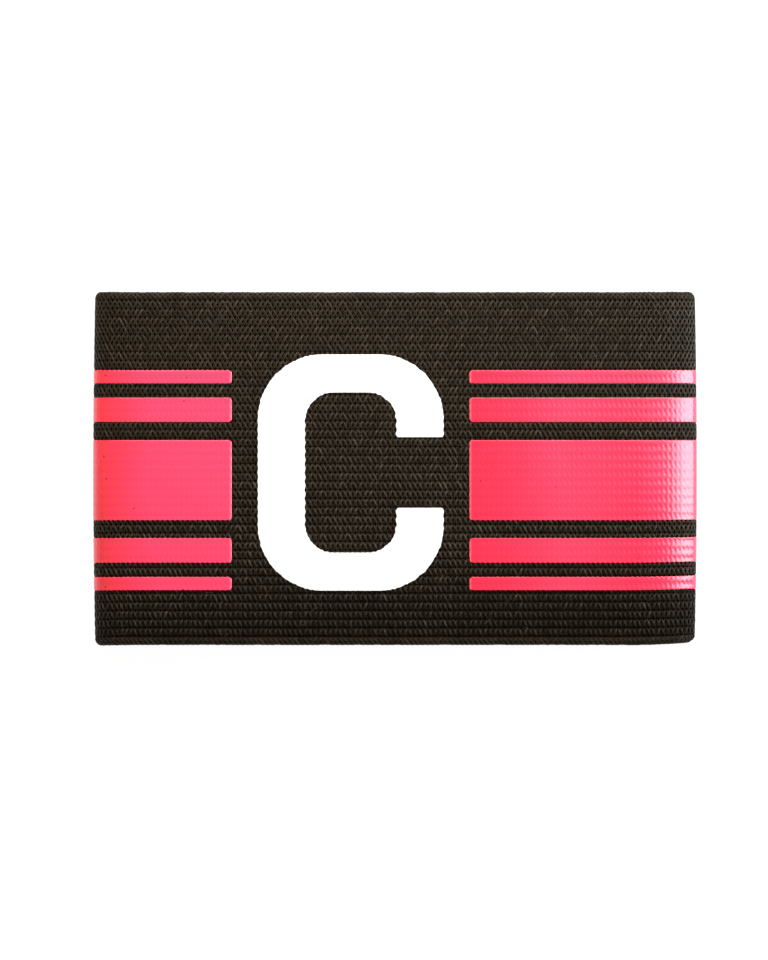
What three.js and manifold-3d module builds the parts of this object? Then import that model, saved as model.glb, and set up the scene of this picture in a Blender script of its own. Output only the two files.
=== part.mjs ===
// A football captain's armband: a loop of ribbed knitted elastic that lies flat, face up,
// with a white letter and pink bars of heat-pressed film on it.
// Millimetres, +Z up. +X runs along the flattened loop, +Y across the band to the letter's top,
// and the origin is on the table, under the middle of the band.

import * as THREE from 'three';
import { mergeVertices } from 'three/addons/utils/BufferGeometryUtils.js';
import Module from 'manifold-3d';

const wasm = await Module();
wasm.setup();

// The loop of elastic
const FLAT_LENGTH = 120.5; // from fold to fold
const BAND_WIDTH = 70; // from selvedge to selvedge
const LOOP_HEIGHT = 9; // over both layers, with the hollow for the arm between them
const WALL = 1.8; // thickness of the elastic
const TIP_HEIGHT = 4.2; // height of the outermost line of each fold

// The ribs, which run along the loop
const RIB_COUNT = 41;
const RIB_DEPTH = 0.3;
const CREST_SHARE = 0.62; // flat share of a rib's pitch
const SELVEDGE_ROUND = 0.45; // how far each edge of the wall rounds in
const SELVEDGE_STEPS = 3;

// How the folds draw in, seen from above
const FOLD_BOW = 0.4; // the folds lie this much further out at mid width
const FULL_DRAW = 0.5; // the folds draw in fully from this share of their reach

// The butt seam that closes the loop, in the middle of the back layer
const SEAM_WIDTH = 0.5;
const SEAM_DEPTH = 0.4;

// The films, pressed into the ribs until they lie just under the crests
const FILM_THICKNESS = 0.4;
const FILM_SINK = 0.05; // from the crests down to the film's face
const FILM_GAP = 0.1;
const FILM_CORNER = 0.7;
const FILM_CORNER_MOST = 0.9; // as a share of half the film's width
const FILM_TO_LETTER = 5;
const FILM_TO_SEAM = 6;

// The stripes: a broad bar between two bars, between two lines, from the top of the set down
const BROAD_WIDTH = 16;
const BAR_WIDTH = 5;
const LINE_WIDTH = 2.8;
const GAP_BY_BROAD = 3.4;
const GAP_BY_LINE = 2.65;
const STRIPES_SHIFT = -2.3; // of the whole set, across the band

// The letter C, which marks a captain
const LETTER_WIDTH = 37;
const LETTER_HEIGHT = 47;
const LETTER_UPRIGHT = 9.6; // width of the upright strokes
const LETTER_LEVEL = 7.8; // width of the level strokes
const LETTER_APERTURE = 14;
const LETTER_OUTER_RADIUS = 13;
const LETTER_INNER_RADIUS = 5.5;
const LETTER_END_RADIUS = 0.8;
const LETTER_SHIFT = { x: -8.8, y: -0.8 };

// Each quarter of the loop's section, from a flat layer round to the outermost line of a fold.
// reach is the length of the bend as a share of FLAT_LENGTH, ease the pull of the flat layer as a
// share of that reach, and round the pull of the upright tangent as a share of the quarter's height.
const QUARTERS = {
  topRight: { reach: 0.143, ease: 0.62, round: 0.85, steps: 6 },
  bottomRight: { reach: 0.067, ease: 0.55, round: 0.7, steps: 5 },
  bottomLeft: { reach: 0.055, ease: 0.55, round: 0.65, steps: 5 },
  topLeft: { reach: 0.076, ease: 0.6, round: 0.75, steps: 6 },
};

// The corners, seen from above. tuck is how far the outermost rib draws in round the corner, as a
// share of a rib's pitch, and flare how far its edge spreads round the fold, as a share of BAND_WIDTH.
const CORNERS = {
  upperRight: { tuck: 0.45, flare: 0.003 },
  lowerRight: { tuck: 0.85, flare: -0.005 },
  lowerLeft: { tuck: 0.45, flare: 0.003 },
  upperLeft: { tuck: 0.45, flare: 0.003 },
};

const BAR_MIDDLE = BROAD_WIDTH / 2 + GAP_BY_BROAD + BAR_WIDTH / 2;
const LINE_MIDDLE = BAR_MIDDLE + BAR_WIDTH / 2 + GAP_BY_LINE + LINE_WIDTH / 2;
const STRIPES = [
  { name: 'top_line', width: LINE_WIDTH, middle: LINE_MIDDLE },
  { name: 'upper_bar', width: BAR_WIDTH, middle: BAR_MIDDLE },
  { name: 'broad_bar', width: BROAD_WIDTH, middle: 0 },
  { name: 'lower_bar', width: BAR_WIDTH, middle: -BAR_MIDDLE },
  { name: 'bottom_line', width: LINE_WIDTH, middle: -LINE_MIDDLE },
];

const ELASTIC = { color: 0x2e2620, roughness: 0.95, metalness: 0 };
const WHITE_FILM = { color: 0xfcfcfc, roughness: 0.45, metalness: 0 };
const PINK_FILM = { color: 0xfd3f62, roughness: 0.3, metalness: 0 };

const ROUND_CORNER_PULL = 0.5523; // makes a cubic curve follow a quarter circle
const CORNER_SEGMENTS = 4;
const LETTER_SEGMENTS = 8;
const PLAIN_SPANS = 4; // divisions of a plain face across the band
const BEYOND = 2; // how far a cutter passes the surface that it cuts

// One quarter of the section, for the loop set in by inset all round, as points with x, z and
// turn, which grows from 0 at the flat layer to 1 at the outermost line.
function quarterPoints(quarter, side, layer, inset) {
  const reach = quarter.reach * FLAT_LENGTH;
  const shoulder = FLAT_LENGTH / 2 - reach;
  const tip = FLAT_LENGTH / 2 - inset;
  const level = layer === 'top' ? LOOP_HEIGHT - inset : inset;
  const curve = new THREE.CubicBezierCurve(
    new THREE.Vector2(shoulder, level),
    new THREE.Vector2(shoulder + quarter.ease * (tip - shoulder), level),
    new THREE.Vector2(tip, TIP_HEIGHT + quarter.round * (level - TIP_HEIGHT)),
    new THREE.Vector2(tip, TIP_HEIGHT),
  );
  return curve.getPoints(quarter.steps).map((point) => ({
    x: side * point.x,
    z: point.y,
    side,
    turn: (point.x - shoulder) / (tip - shoulder),
  }));
}

// The whole section, clockwise from the left end of the top layer.
function sectionPoints(inset) {
  const topRight = quarterPoints(QUARTERS.topRight, 1, 'top', inset);
  const bottomRight = quarterPoints(QUARTERS.bottomRight, 1, 'bottom', inset);
  const bottomLeft = quarterPoints(QUARTERS.bottomLeft, -1, 'bottom', inset);
  const topLeft = quarterPoints(QUARTERS.topLeft, -1, 'top', inset);
  return [
    ...topRight,
    ...bottomRight.reverse().slice(1),
    ...bottomLeft,
    ...topLeft.reverse().slice(1),
  ];
}

// One ring of the loop at a station across the band: bowed along the folds, tucked in at the
// corners and spread or narrowed a little round the folds.
function ringAt({ y, inset, corner = 0 }) {
  const share = (2 * y) / BAND_WIDTH;
  const pitch = BAND_WIDTH / RIB_COUNT;
  return sectionPoints(inset).map((point) => {
    const { tuck, flare } = CORNERS[`${y > 0 ? 'upper' : 'lower'}${point.side > 0 ? 'Right' : 'Left'}`];
    const drawnIn = FOLD_BOW * share ** 2 + tuck * pitch * corner;
    return [
      point.x - point.side * drawnIn * Math.min(1, point.turn / FULL_DRAW),
      y + flare * BAND_WIDTH * share * point.turn ** 2,
      point.z,
    ];
  });
}

// The stations over one selvedge, where the outermost rib rounds off towards the edge.
function selvedgeStations(sign, inset, roundingIn) {
  const pitch = BAND_WIDTH / RIB_COUNT;
  const radius = (pitch * (1 + CREST_SHARE)) / 2;
  const stations = [];
  for (let step = 0; step <= SELVEDGE_STEPS; step += 1) {
    const angle = (Math.PI / 2) * (step / SELVEDGE_STEPS);
    const corner = 1 - Math.cos(angle);
    stations.push({
      y: sign * (BAND_WIDTH / 2 - radius * (1 - Math.sin(angle))),
      inset: inset + roundingIn * SELVEDGE_ROUND * corner,
      corner,
    });
  }
  return sign > 0 ? stations : stations.reverse();
}

// The outer face's stations: a groove and a flat crest for each rib.
function ribbedStations() {
  const pitch = BAND_WIDTH / RIB_COUNT;
  const slope = (pitch * (1 - CREST_SHARE)) / 2;
  const stations = selvedgeStations(-1, 0, 1);
  for (let rib = 1; rib < RIB_COUNT; rib += 1) {
    const groove = rib * pitch - BAND_WIDTH / 2;
    stations.push({ y: groove, inset: RIB_DEPTH });
    if (rib === RIB_COUNT - 1) break;
    stations.push({ y: groove + slope, inset: 0 });
    stations.push({ y: groove + pitch - slope, inset: 0 });
  }
  return [...stations, ...selvedgeStations(1, 0, 1)];
}

// The inner face's stations, plain between the two selvedges.
function innerStations() {
  const spans = [];
  for (let span = 1; span < PLAIN_SPANS; span += 1) {
    spans.push({ y: BAND_WIDTH * (span / PLAIN_SPANS - 0.5), inset: WALL });
  }
  return [...selvedgeStations(-1, WALL, -1), ...spans, ...selvedgeStations(1, WALL, -1)];
}

// A plain shell's stations, at one inset.
function plainStations(inset) {
  const stations = [];
  for (let span = 0; span <= PLAIN_SPANS; span += 1) {
    stations.push({ y: BAND_WIDTH * (span / PLAIN_SPANS - 0.5), inset });
  }
  return stations;
}

// A closed solid between an outer and an inner lofted face.
function loopSolid(outer, inner) {
  const rings = { outer: outer.map(ringAt), inner: inner.map(ringAt) };
  const count = rings.outer[0].length;
  const positions = [...rings.outer, ...rings.inner].flat(2);
  const start = (face, ring) => (face === 'outer' ? ring : rings.outer.length + ring) * count;
  const faces = [];
  const strip = (from, to) => {
    for (let point = 0; point < count; point += 1) {
      const next = (point + 1) % count;
      faces.push(from + point, from + next, to + next);
      faces.push(from + point, to + next, to + point);
    }
  };
  for (let ring = 1; ring < rings.outer.length; ring += 1) {
    strip(start('outer', ring - 1), start('outer', ring));
  }
  for (let ring = 1; ring < rings.inner.length; ring += 1) {
    strip(start('inner', ring), start('inner', ring - 1));
  }
  strip(start('inner', 0), start('outer', 0));
  strip(start('outer', rings.outer.length - 1), start('inner', rings.inner.length - 1));
  const geometry = new THREE.BufferGeometry();
  geometry.setAttribute('position', new THREE.Float32BufferAttribute(positions, 3));
  geometry.setIndex(faces);
  return solidFrom(geometry);
}

function solidFrom(geometry) {
  geometry.deleteAttribute('normal');
  geometry.deleteAttribute('uv');
  const merged = mergeVertices(geometry);
  const mesh = new wasm.Mesh({
    numProp: 3,
    vertProperties: new Float32Array(merged.attributes.position.array),
    triVerts: new Uint32Array(merged.index.array),
  });
  return new wasm.Manifold(mesh);
}

function meshFrom(solid, name, look) {
  const { vertProperties, triVerts } = solid.getMesh();
  const geometry = new THREE.BufferGeometry();
  geometry.setAttribute('position', new THREE.BufferAttribute(vertProperties, 3));
  geometry.setIndex(new THREE.BufferAttribute(triVerts, 1));
  geometry.computeVertexNormals();
  const mesh = new THREE.Mesh(geometry, new THREE.MeshStandardMaterial(look));
  mesh.name = name;
  return mesh;
}

// A flat outline whose square corners, listed in order, are each rounded with their own radius.
function roundedShape(corners) {
  const shape = new THREE.Shape();
  corners.forEach(({ x, y, radius }, index) => {
    const corner = new THREE.Vector2(x, y);
    const towards = (other) => new THREE.Vector2(other.x, other.y).sub(corner).setLength(radius);
    const before = towards(corners[(index + corners.length - 1) % corners.length]);
    const after = towards(corners[(index + 1) % corners.length]);
    const pull = 1 - ROUND_CORNER_PULL;
    const [enter, leave] = [corner.clone().add(before), corner.clone().add(after)];
    if (index === 0) shape.moveTo(enter.x, enter.y);
    else shape.lineTo(enter.x, enter.y);
    const first = corner.clone().addScaledVector(before, pull);
    const second = corner.clone().addScaledVector(after, pull);
    shape.bezierCurveTo(first.x, first.y, second.x, second.y, leave.x, leave.y);
  });
  return shape;
}

// An upright prism of a flat outline, from one height to another.
function prism(shape, low, high, segments) {
  const geometry = new THREE.ExtrudeGeometry(shape, {
    depth: high - low,
    bevelEnabled: false,
    curveSegments: segments,
  });
  geometry.translate(0, 0, low);
  return solidFrom(geometry);
}

// The letter's outline, grown outwards all round.
function letterShape(grow) {
  const right = LETTER_WIDTH / 2;
  const top = LETTER_HEIGHT / 2;
  const gap = LETTER_APERTURE / 2;
  const outer = LETTER_OUTER_RADIUS + grow;
  const inner = LETTER_INNER_RADIUS - grow;
  const end = LETTER_END_RADIUS;
  const inside = right - LETTER_UPRIGHT;
  const ceiling = top - LETTER_LEVEL;
  const corners = [
    { x: right + grow, y: gap - grow, radius: end },
    { x: right + grow, y: top + grow, radius: outer },
    { x: -right - grow, y: top + grow, radius: outer },
    { x: -right - grow, y: -top - grow, radius: outer },
    { x: right + grow, y: -top - grow, radius: outer },
    { x: right + grow, y: -gap + grow, radius: end },
    { x: inside - grow, y: -gap + grow, radius: end },
    { x: inside - grow, y: -ceiling + grow, radius: inner },
    { x: -inside + grow, y: -ceiling + grow, radius: inner },
    { x: -inside + grow, y: ceiling - grow, radius: inner },
    { x: inside - grow, y: ceiling - grow, radius: inner },
    { x: inside - grow, y: gap - grow, radius: end },
  ];
  return roundedShape(
    corners.map(({ x, y, radius }) => ({ x: x + LETTER_SHIFT.x, y: y + LETTER_SHIFT.y, radius })),
  );
}

// The space that one stripe takes on its side of the band: on the face from beside the letter,
// round the fold, and on the back up to beside the seam.
function stripeSpace(stripe, side, grow) {
  const middle = STRIPES_SHIFT + stripe.middle;
  const half = stripe.width / 2 + grow;
  const outside = side * (FLAT_LENGTH / 2 + BEYOND);
  const letterEdge = LETTER_SHIFT.x + side * (LETTER_WIDTH / 2 + FILM_TO_LETTER);
  const seamEdge = side * (SEAM_WIDTH / 2 + FILM_TO_SEAM);
  const layer = (inside, low, high) => {
    const end = inside - side * grow;
    const radius = Math.min(FILM_CORNER, half * FILM_CORNER_MOST);
    const corners = [
      { x: end, y: middle - half, radius },
      { x: outside, y: middle - half, radius },
      { x: outside, y: middle + half, radius },
      { x: end, y: middle + half, radius },
    ];
    return prism(roundedShape(side > 0 ? corners : corners.reverse()), low, high, CORNER_SEGMENTS);
  };
  const face = layer(letterEdge, TIP_HEIGHT, LOOP_HEIGHT + BEYOND);
  const back = layer(seamEdge, -BEYOND, TIP_HEIGHT);
  return face.add(back);
}

// The films: each with its own solid, and the slightly larger pocket that the ribs leave for it.
function filmSpaces() {
  const films = [
    {
      name: 'letter_c',
      look: WHITE_FILM,
      space: (grow) =>
        prism(letterShape(grow), TIP_HEIGHT, LOOP_HEIGHT + BEYOND, LETTER_SEGMENTS),
    },
  ];
  for (const [sideName, side] of [['left', -1], ['right', 1]]) {
    for (const stripe of STRIPES) {
      films.push({
        name: `${sideName}_${stripe.name}`,
        look: PINK_FILM,
        space: (grow) => stripeSpace(stripe, side, grow),
      });
    }
  }
  return films;
}

// The two grooves of the seam, outside and inside the back layer.
function seamGrooves() {
  const cutter = (low, high) => {
    const box = new THREE.BoxGeometry(SEAM_WIDTH, BAND_WIDTH + 2 * BEYOND, high - low);
    box.translate(0, 0, (low + high) / 2);
    return solidFrom(box);
  };
  return cutter(-BEYOND, SEAM_DEPTH).add(cutter(WALL - SEAM_DEPTH, WALL + SEAM_DEPTH));
}

const films = filmSpaces();
const filmBack = FILM_SINK + FILM_THICKNESS;
const filmShell = loopSolid(plainStations(FILM_SINK), plainStations(filmBack));
const pocketShell = loopSolid(plainStations(-BEYOND), plainStations(filmBack + FILM_GAP));

let elastic = loopSolid(ribbedStations(), innerStations()).subtract(seamGrooves());
for (const film of films) {
  elastic = elastic.subtract(pocketShell.intersect(film.space(FILM_GAP)));
}

const armband = new THREE.Group();
armband.add(meshFrom(elastic, 'elastic_loop', ELASTIC));
for (const film of films) {
  armband.add(meshFrom(filmShell.intersect(film.space(0)), film.name, film.look));
}

export default armband;
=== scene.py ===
"""A captain's armband of ribbed knitted elastic, lying flat, with pressed films on it.

The knit is made of its own crossing yarns over a dark ribbed body, the films are thin closed
skins that sag a little into the knit, and the seam on the back is sewn with a zigzag thread.
Places on the loop are given as u, round its outer line from the middle of the face towards +X,
v, across the band, and depth, below the crests of the yarns. All three are in millimetres.
"""

import math

import bpy
import numpy as np
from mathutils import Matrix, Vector


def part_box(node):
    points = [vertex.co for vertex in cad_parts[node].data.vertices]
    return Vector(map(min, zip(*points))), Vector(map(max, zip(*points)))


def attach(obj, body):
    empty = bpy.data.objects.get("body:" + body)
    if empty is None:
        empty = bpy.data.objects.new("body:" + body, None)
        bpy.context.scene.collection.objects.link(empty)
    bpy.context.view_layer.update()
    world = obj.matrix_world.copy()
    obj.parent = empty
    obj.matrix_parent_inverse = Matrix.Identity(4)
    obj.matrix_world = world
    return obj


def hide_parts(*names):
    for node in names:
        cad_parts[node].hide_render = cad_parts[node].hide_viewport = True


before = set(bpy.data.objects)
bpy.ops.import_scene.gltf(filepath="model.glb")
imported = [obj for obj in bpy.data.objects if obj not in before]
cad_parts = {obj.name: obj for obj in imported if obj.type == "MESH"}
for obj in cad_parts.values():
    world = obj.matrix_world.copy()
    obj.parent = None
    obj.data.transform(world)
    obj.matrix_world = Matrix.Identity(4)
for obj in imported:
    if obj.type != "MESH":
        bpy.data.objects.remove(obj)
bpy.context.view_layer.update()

MM = 0.001
TURN = 2 * math.pi

# The loop, as the solids have it
LOOP_LOW, LOOP_HIGH = (np.array(corner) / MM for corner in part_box("elastic_loop"))
FLAT_LENGTH, _, LOOP_HEIGHT = LOOP_HIGH - LOOP_LOW
BAND_WIDTH = 70.0
WALL = 1.8
TIP_HEIGHT = 4.2
RIB_COUNT = 41
RIB_PITCH = BAND_WIDTH / RIB_COUNT
FOLD_BOW = 0.4
FULL_DRAW = 0.5
SELVEDGE_ROUND = 0.45
SELVEDGE_REACH = 0.81 * RIB_PITCH

# The corners, seen from above: tuck is a share of a rib's pitch and flare of the band's width
CORNERS = {
    "upper_right": {"tuck": 0.45, "flare": 0.003},
    "lower_right": {"tuck": 1.2, "flare": -0.005},
    "lower_left": {"tuck": 0.45, "flare": 0.003},
    "upper_left": {"tuck": 0.45, "flare": 0.003},
}

# Each quarter of the loop's section: reach is a share of the flat length, ease of that reach
# and round of the quarter's height
QUARTERS = {
    "top_right": {"reach": 0.143, "ease": 0.62, "round": 0.85},
    "bottom_right": {"reach": 0.067, "ease": 0.55, "round": 0.7},
    "bottom_left": {"reach": 0.055, "ease": 0.55, "round": 0.65},
    "top_left": {"reach": 0.076, "ease": 0.6, "round": 0.75},
}
CURVE_STEPS = 300

# The knit: every rib is a row of crossed yarns, one crossing a stitch
STITCH_TARGET = 0.99
YARN_HALF_WIDTH = {"upper": 0.185, "lower": 0.225}
YARN_HALF_HEIGHT = 0.14
YARN_FLATNESS = {"upper": 0.1, "lower": -0.6}  # of the yarns at a crossing, against the average
YARN_JITTER = 0.03
# spread is the yarns' random tone; a share of the yarns is painted lighter, as painted highlights
YARN_TONES = {"spread": 0.17, "bright_share": 0.06, "bright": 1.4}
EDGE_BLEND = 0.7  # below 1, values change faster near the lower edge than near the upper one
RIGHT_LEAN = {"swing": 0.25, "slope": 1.5, "least": -0.4}  # of the yarns on top, over the width
CROSSING_DROP = 0.24  # how much lower the yarn underneath lies at a crossing
GROOVE_DROP = {"upper": 0.2, "lower": 0.58}  # how much lower the yarns lie in a groove
GROOVE_SHARPNESS = 2.2  # a power: how near the groove a yarn begins to fall
FOLD_FLATTEN = 0.85  # the share of both drops that is gone at a fold's outermost line
EDGE_LEAN = 1.5  # how much more the yarns lean as they go round an edge of the band
EDGE_DROP = 0.05  # how much lower the yarn underneath lies there
PAINTED_CROSSING_LIGHT_AND_SHADE = {"upper": 0.12, "lower": 0.16}  # how much lighter the yarn on top is painted, and the one underneath darker: painted light and shade at a crossing
PAINTED_GROOVE_SHADE = {"upper": 0.1, "lower": 0.78}  # how much darker the yarns are painted in a groove: painted shade
SEAM_GAP = 0.45
BODY_DEPTH = 0.4  # of the dark body's crests
BODY_GROOVE = 0.3
BODY_TUCK = 0.2  # of the body's edges, inside the yarns that wrap them
INNER_GROOVE = 0.15
BODY_STEPS = {"flat": 2.0, "fold": 0.5, "seam": 0.2}  # between the body's stations
BENDING = 0.02  # the turn from which a place counts as part of a fold
SEAM_REACH = 1.5  # how far from the seam its stations go
SEAM_NOTCH = {"width": 0.28, "depth": 0.35}
SELVEDGE_POINTS = 8
BACK_LIFT = 0.06  # keeps the yarns and films of the back layer on the floor, and not in it
BACK_REACH = 0.42  # the back's plainer yarns reach this share of the flat length to each side

# Where the knit is painted darker, as painted shade, in shares of the flat length and of the band's
# width
LOW_SHADE = {"most": 0.4, "start": 0.2, "over": 0.22, "left": 0.25}
RIGHT_SHADE = {"most": 0.13, "start": 0.04, "over": 0.2}

# Low waves of the face: share is of the height, and along and across are wavelengths
WAVE_HEIGHT = 0.16
WAVES = (
    {"share": 0.55, "along": 61, "across": 150, "phase": 0.6},
    {"share": 0.3, "along": 37, "across": -83, "phase": 2.1},
    {"share": 0.15, "along": 23, "across": 47, "phase": 4.0},
)

# A yarn's path from groove to groove and its section, both finer where they show from above
FACE_LEG = {
    "path": (-0.05, 0.14, 0.36, 0.64, 0.86, 1.05),
    "section": np.radians((-20, 40, 90, 140, 200)),
}
BACK_LEG = {
    "path": (-0.03, 0.2, 0.5, 0.8, 1.03),
    "section": np.radians((-30, 90, 210)),
}
# rise is the share of a rib's pitch over which an edge yarn comes up out of its groove
EDGE_LEG = {"steps": 8, "rise": 0.4, "section": np.radians((-90, 0, 90, 180))}

# The films
FILM_PROUD = 0.05  # above the crests of the yarns
FILM_EDGE_DEPTH = 0.42
FILM_CORNER = 0.7
CORNER_POINTS = 9
FILM_TO_LETTER = 5.0
FILM_GRID = 0.33
FILM_EDGE_ROWS = np.array((0.0, 0.05, 0.12))  # rows of points beside an edge
FILM_INSIDE = 0.25  # where the even rows begin
FILM_SAG = {"groove": 0.045, "hole": 0.035, "ridge": 0.055}
RIDGE_SWAY = 0.22  # of the ridges to and fro, as a share of a stitch
FILM_SCALLOP = {"groove": 0.05, "hole": 0.14}
END_SCALLOP = 0.4  # how much of that is left at a stripe's ends
LETTER_SCALLOP = 1.5  # and how much there is of it round the letter
SCALLOP_FADE = 0.25
SIDE_ROLL = {"width": 0.12, "drop": 0.03}  # how the long edges roll down into the knit
END_ROLL = {"width": 0.5, "drop": 0.12}
FILM_PRESS = {"depth": 0.25, "width": 0.3}  # how the films press the yarns down
YARN_UNDER_FILM = 0.45  # yarns are left out further inside a film than this

# The letter
LETTER_UPRIGHT = 9.6
LETTER_LEVEL = 7.8
LETTER_APERTURE = 14.0
LETTER_OUTER_RADIUS = 13.0
LETTER_INNER_RADIUS = 5.5
LETTER_END_RADIUS = 0.5
LETTER_POINTS = {"end": 12, "arc": 82, "level": 34, "back": 38, "across": 26}

random = np.random.default_rng(7)


# The loop's surface

def quarter(name, level):
    """One quarter of the section, from its flat layer to the outermost line: x, z and turn."""
    shape = QUARTERS[name]
    reach = shape["reach"] * FLAT_LENGTH
    tip = FLAT_LENGTH / 2
    shoulder = tip - reach
    t = np.linspace(0, 1, CURVE_STEPS)[:, None]
    corners = np.array([
        (shoulder, level),
        (shoulder + shape["ease"] * reach, level),
        (tip, TIP_HEIGHT + shape["round"] * (level - TIP_HEIGHT)),
        (tip, TIP_HEIGHT),
    ])
    weights = np.hstack([(1 - t) ** 3, 3 * t * (1 - t) ** 2, 3 * t**2 * (1 - t), t**3])
    points = weights @ corners
    return np.column_stack([points, (points[:, 0] - shoulder) / reach])


def make_section():
    """The section's outer line at the crests, from the middle of the face round by +X."""
    parts = [
        (1, quarter("top_right", LOOP_HEIGHT)),
        (1, quarter("bottom_right", 0.0)[::-1]),
        (-1, quarter("bottom_left", 0.0)),
        (-1, quarter("top_left", LOOP_HEIGHT)[::-1]),
    ]
    rows = [[0.0, LOOP_HEIGHT, 0.0, 1.0]]
    for side, part in parts:
        for x, z, turn in part:
            rows.append([side * x, z, turn, side])
    rows.append([0.0, LOOP_HEIGHT, 0.0, -1.0])
    rows = np.array(rows)
    steps = np.hypot(*np.diff(rows[:, :2], axis=0).T)
    rows = rows[np.concatenate([[True], steps > 1e-6])]
    along = np.concatenate([[0], np.cumsum(steps[steps > 1e-6])])
    tangent = np.gradient(rows[:, :2], along, axis=0)
    tangent[[0, -1]] = (1, 0)
    tangent /= np.linalg.norm(tangent, axis=1, keepdims=True)
    return {
        "along": along,
        "x": rows[:, 0],
        "z": rows[:, 1],
        "turn": rows[:, 2],
        "side": rows[:, 3],
        "nx": -tangent[:, 1],
        "nz": tangent[:, 0],
    }


SECTION = make_section()
LOOP_LENGTH = SECTION["along"][-1]
STITCH_COUNT = 2 * round(LOOP_LENGTH / STITCH_TARGET / 2)
STITCH = LOOP_LENGTH / STITCH_COUNT


def section_value(name, u):
    return np.interp(np.mod(u, LOOP_LENGTH), SECTION["along"], SECTION[name])


def along_at(x, layer):
    """Where round the loop a flat layer has this x. Left of the middle, the face's u is negative."""
    on_face = SECTION["z"] > TIP_HEIGHT
    rows = on_face if layer == "face" else ~on_face
    along = SECTION["along"][rows].copy()
    if layer == "face":
        along[along > LOOP_LENGTH / 2] -= LOOP_LENGTH
    order = np.argsort(SECTION["x"][rows])
    return float(np.interp(x, SECTION["x"][rows][order], along[order]))


SEAM_AT = along_at(0.0, "back")
BACK_FROM, BACK_TO = (along_at(side * BACK_REACH * FLAT_LENGTH, "back") for side in (1, -1))


def undulation(u, v):
    """The face isn't quite flat: low waves, which fade out towards the back."""
    height = np.clip(section_value("z", u) / LOOP_HEIGHT, 0, 1)
    waves = sum(
        wave["share"] * np.sin(TURN * (u / wave["along"] + v / wave["across"]) + wave["phase"])
        for wave in WAVES
    )
    return WAVE_HEIGHT * waves * height**3 + BACK_LIFT * (1 - height) ** 3


def corner_value(key, side, v):
    """A corner's tuck or flare, for points on this side of the loop and this v."""
    right = np.where(v > 0, CORNERS["upper_right"][key], CORNERS["lower_right"][key])
    left = np.where(v > 0, CORNERS["upper_left"][key], CORNERS["lower_left"][key])
    return np.where(side > 0, right, left)


def on_loop(u, v, depth):
    """Points at these places on the loop."""
    u, v, depth = np.broadcast_arrays(u, v, depth)
    turn = section_value("turn", u)
    side = np.sign(section_value("side", u))
    share = 2 * v / BAND_WIDTH
    from_edge = np.clip((BAND_WIDTH / 2 - np.abs(v)) / SELVEDGE_REACH, 0, 1)
    corner = 1 - np.sqrt(1 - (1 - from_edge) ** 2)
    tuck = corner_value("tuck", side, v) * RIB_PITCH
    drawn_in = (FOLD_BOW * share**2 + tuck * corner) * np.minimum(1, turn / FULL_DRAW)
    flare = corner_value("flare", side, v) * BAND_WIDTH
    sunk = depth + undulation(u, v)
    x = section_value("x", u) - sunk * section_value("nx", u) - side * drawn_in
    y = v + flare * share * turn**2
    z = section_value("z", u) - sunk * section_value("nz", u)
    return np.stack([x, y, z], axis=-1)


def surface_normals(u, v):
    """Outward normals of the loop's crest surface."""
    step = 0.05
    along = on_loop(u + step, v, 0.0) - on_loop(u - step, v, 0.0)
    across = on_loop(u, v + step, 0.0) - on_loop(u, v - step, 0.0)
    normal = np.cross(along, across)
    return normal / np.linalg.norm(normal, axis=-1, keepdims=True)


# The lattice of the knit

def groove_share(v):
    """1 in a groove between two ribs, 0 on a crest."""
    return 0.5 + 0.5 * np.cos(TURN * (v + BAND_WIDTH / 2) / RIB_PITCH)


def hole_share(u, v):
    """1 over a hole of the lattice, 0 where yarns cross or meet."""
    ribs = np.cos(TURN * (v + BAND_WIDTH / 2) / RIB_PITCH)
    return 0.5 + 0.5 * ribs * np.cos(TURN * u / STITCH)


def ridge_share(u, v):
    """0 to 1 over wavy ridges, which follow one of the two families of yarns from rib to rib."""
    sway = RIDGE_SWAY * np.sin(TURN * (v + BAND_WIDTH / 2) / RIB_PITCH)
    return 0.5 + 0.5 * np.cos(TURN * (u / STITCH + sway))


# Where the films lie

LETTER_LOW, LETTER_HIGH = (np.array(corner)[:2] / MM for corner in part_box("letter_c"))


def stripe_places():
    """Each stripe's node, its range round the loop and its range across the band."""
    places = []
    for name in sorted(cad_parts):
        if not name.startswith(("left_", "right_")):
            continue
        low, high = (np.array(corner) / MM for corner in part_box(name))
        if name.startswith("right_"):
            start = along_at(LETTER_HIGH[0] + FILM_TO_LETTER, "face")
            end = along_at(low[0], "back")
        else:
            start = along_at(high[0], "back")
            end = along_at(LETTER_LOW[0] - FILM_TO_LETTER, "face") + LOOP_LENGTH
        places.append({"node": name, "u": (start, end), "v": (low[1], high[1])})
    return places


STRIPES = stripe_places()


def from_face_middle(u):
    """u on the face, as a signed distance from its middle."""
    return np.mod(u + LOOP_LENGTH / 2, LOOP_LENGTH) - LOOP_LENGTH / 2


def inside_letter(u, v):
    """How far inside the letter's stroke a place lies, about, or a negative number."""
    centre = (LETTER_LOW + LETTER_HIGH) / 2
    half = (LETTER_HIGH - LETTER_LOW) / 2
    x, y = from_face_middle(u) - centre[0], v - centre[1]

    def inside_rounded(size, radius):
        over_x = np.abs(x) - (size[0] - radius)
        over_y = np.abs(y) - (size[1] - radius)
        outside = np.hypot(np.maximum(over_x, 0), np.maximum(over_y, 0))
        return radius - outside - np.minimum(np.maximum(over_x, over_y), 0)

    outer = inside_rounded(half, LETTER_OUTER_RADIUS)
    inner = inside_rounded(half - (LETTER_UPRIGHT, LETTER_LEVEL), LETTER_INNER_RADIUS)
    mouth = np.minimum(LETTER_APERTURE / 2 - np.abs(y), x)
    return np.minimum(outer, -np.maximum(inner, mouth))


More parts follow.
